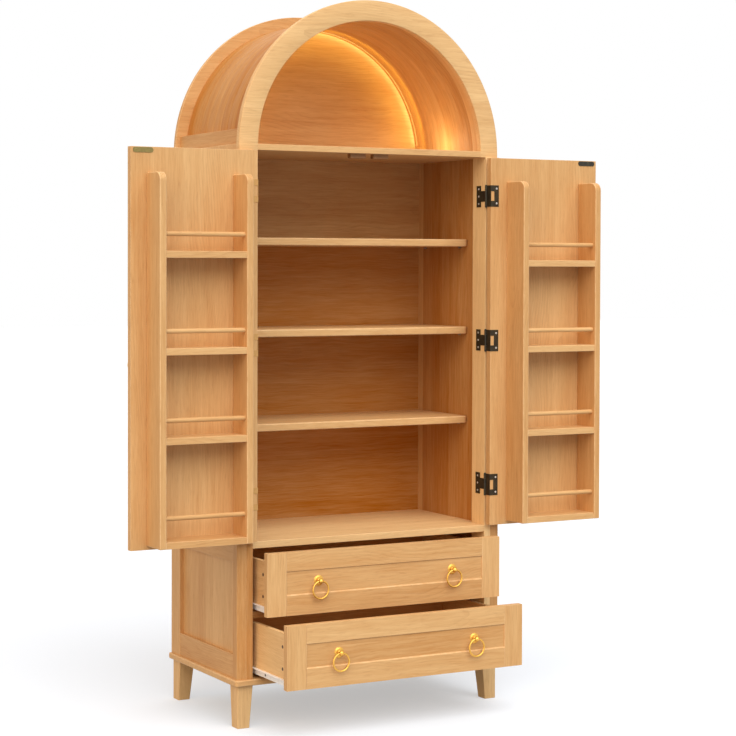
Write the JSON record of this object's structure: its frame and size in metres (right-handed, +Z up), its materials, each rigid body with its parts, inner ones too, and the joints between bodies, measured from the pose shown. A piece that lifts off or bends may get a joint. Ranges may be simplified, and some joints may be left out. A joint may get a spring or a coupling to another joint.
{
  "type": "tall arched cabinet",
  "caption": "Tall wooden cabinet on tapered legs with a lit arched niche on top, racks inside two swing doors, shelves between them and ring-pull drawers on roller slides below.",
  "frame": {"origin": "centre of the footprint on the floor, at mid-width and mid-depth of the cabinet box, in the plane of the feet", "axes": "+Z up; -Y out of the front, where the drawers pull out; +X to the right seen from the front"},
  "size_m": [1.412, 0.5995, 1.8815],
  "materials": {
    "oak": "satin lacquer",
    "brass": "polished",
    "dull_brass": "satin",
    "dark_bronze": "satin",
    "white_steel": "gloss",
    "steel": "satin",
    "brown_plastic": "matte",
    "black_plastic": "matte",
    "amber_light": "diffuse, lit"
  },
  "bodies": {
    "cabinet": {"base_board": "oak", "legs": "oak", "post_front_left": "oak", "post_front_right": "oak", "post_rear_left": "oak", "post_rear_right": "oak", "side_rails": "oak", "side_panel_left": "oak", "side_panel_right": "oak", "cabinet_floor": "oak", "niche_floor": "oak", "shelf_lower": "oak", "shelf_middle": "oak", "shelf_upper": "oak", "back_panel": "oak", "arch_front_ring": "oak", "arch_back_panel": "oak", "arch_barrel": "oak", "niche_back_panel": "oak", "runner_battens": "oak", "drawer_rail": "oak", "led_strip": "amber_light", "lamp_inlet": "black_plastic", "shelf_pins": "steel", "magnetic_catches": "brown_plastic", "case_slides": "white_steel", "hinge_case_leaves": "dark_bronze", "hinge_pins": "dark_bronze"},
    "drawer_lower": {"drawer_lower_front": "oak", "drawer_lower_sides": "oak", "drawer_lower_back": "oak", "drawer_lower_bottom": "oak", "drawer_lower_slides": "white_steel", "drawer_lower_pull_posts": "brass"},
    "drawer_lower_ring_left": {"drawer_lower_ring_left": "brass"},
    "drawer_lower_ring_right": {"drawer_lower_ring_right": "brass"},
    "drawer_upper": {"drawer_upper_front": "oak", "drawer_upper_sides": "oak", "drawer_upper_back": "oak", "drawer_upper_bottom": "oak", "drawer_upper_slides": "white_steel", "drawer_upper_pull_posts": "brass"},
    "drawer_upper_ring_left": {"drawer_upper_ring_left": "brass"},
    "drawer_upper_ring_right": {"drawer_upper_ring_right": "brass"},
    "door_left": {"door_left_panel": "oak", "door_left_rack_sides": "oak", "door_left_rack_shelves": "oak", "door_left_rack_guards": "oak", "door_left_hinge_leaves": "dark_bronze", "door_left_pull_post": "brass", "door_left_strike_plate": "dull_brass"},
    "door_left_ring": {"door_left_pull_ring": "brass"},
    "door_right": {"door_right_panel": "oak", "door_right_rack_sides": "oak", "door_right_rack_shelves": "oak", "door_right_rack_guards": "oak", "door_right_hinge_leaves": "dark_bronze", "door_right_pull_post": "brass", "door_right_strike_plate": "dark_bronze"},
    "door_right_ring": {"door_right_pull_ring": "brass"}
  },
  "joints": [
    {"name": "door_left_swing", "type": "hinge", "parent": "cabinet", "child": "door_left", "pos_m": [-0.35375, -0.2035, 0.979], "axis": [0, 0, 1], "range_deg": [0, 180]},
    {"name": "door_right_swing", "type": "hinge", "parent": "cabinet", "child": "door_right", "pos_m": [0.35375, -0.2035, 0.979], "axis": [0, 0, -1], "range_deg": [0, 180]},
    {"name": "drawer_lower_slide", "type": "slide", "parent": "cabinet", "child": "drawer_lower", "axis": [0, -1, 0], "range_m": [-0.182, 0.078]},
    {"name": "drawer_upper_slide", "type": "slide", "parent": "cabinet", "child": "drawer_upper", "axis": [0, -1, 0], "range_m": [-0.076, 0.184]},
    {"name": "drawer_lower_ring_left_swing", "type": "hinge", "parent": "drawer_lower", "child": "drawer_lower_ring_left", "pos_m": [-0.203, -0.391, 0.2135], "axis": [-1, 0, 0], "range_deg": [0, 90]},
    {"name": "drawer_lower_ring_right_swing", "type": "hinge", "parent": "drawer_lower", "child": "drawer_lower_ring_right", "pos_m": [0.203, -0.391, 0.2135], "axis": [-1, 0, 0], "range_deg": [0, 90]},
    {"name": "drawer_upper_ring_left_swing", "type": "hinge", "parent": "drawer_upper", "child": "drawer_upper_ring_left", "pos_m": [-0.203, -0.285, 0.379], "axis": [-1, 0, 0], "range_deg": [0, 90]},
    {"name": "drawer_upper_ring_right_swing", "type": "hinge", "parent": "drawer_upper", "child": "drawer_upper_ring_right", "pos_m": [0.203, -0.285, 0.379], "axis": [-1, 0, 0], "range_deg": [0, 90]},
    {"name": "door_left_ring_swing", "type": "hinge", "parent": "door_left", "child": "door_left_ring", "pos_m": [-0.676, -0.194, 0.961], "axis": [1, 0, 0], "range_deg": [0, 90]},
    {"name": "door_right_ring_swing", "type": "hinge", "parent": "door_right", "child": "door_right_ring", "pos_m": [0.676, -0.194, 0.961], "axis": [1, 0, 0], "range_deg": [0, 90]}
  ]
}
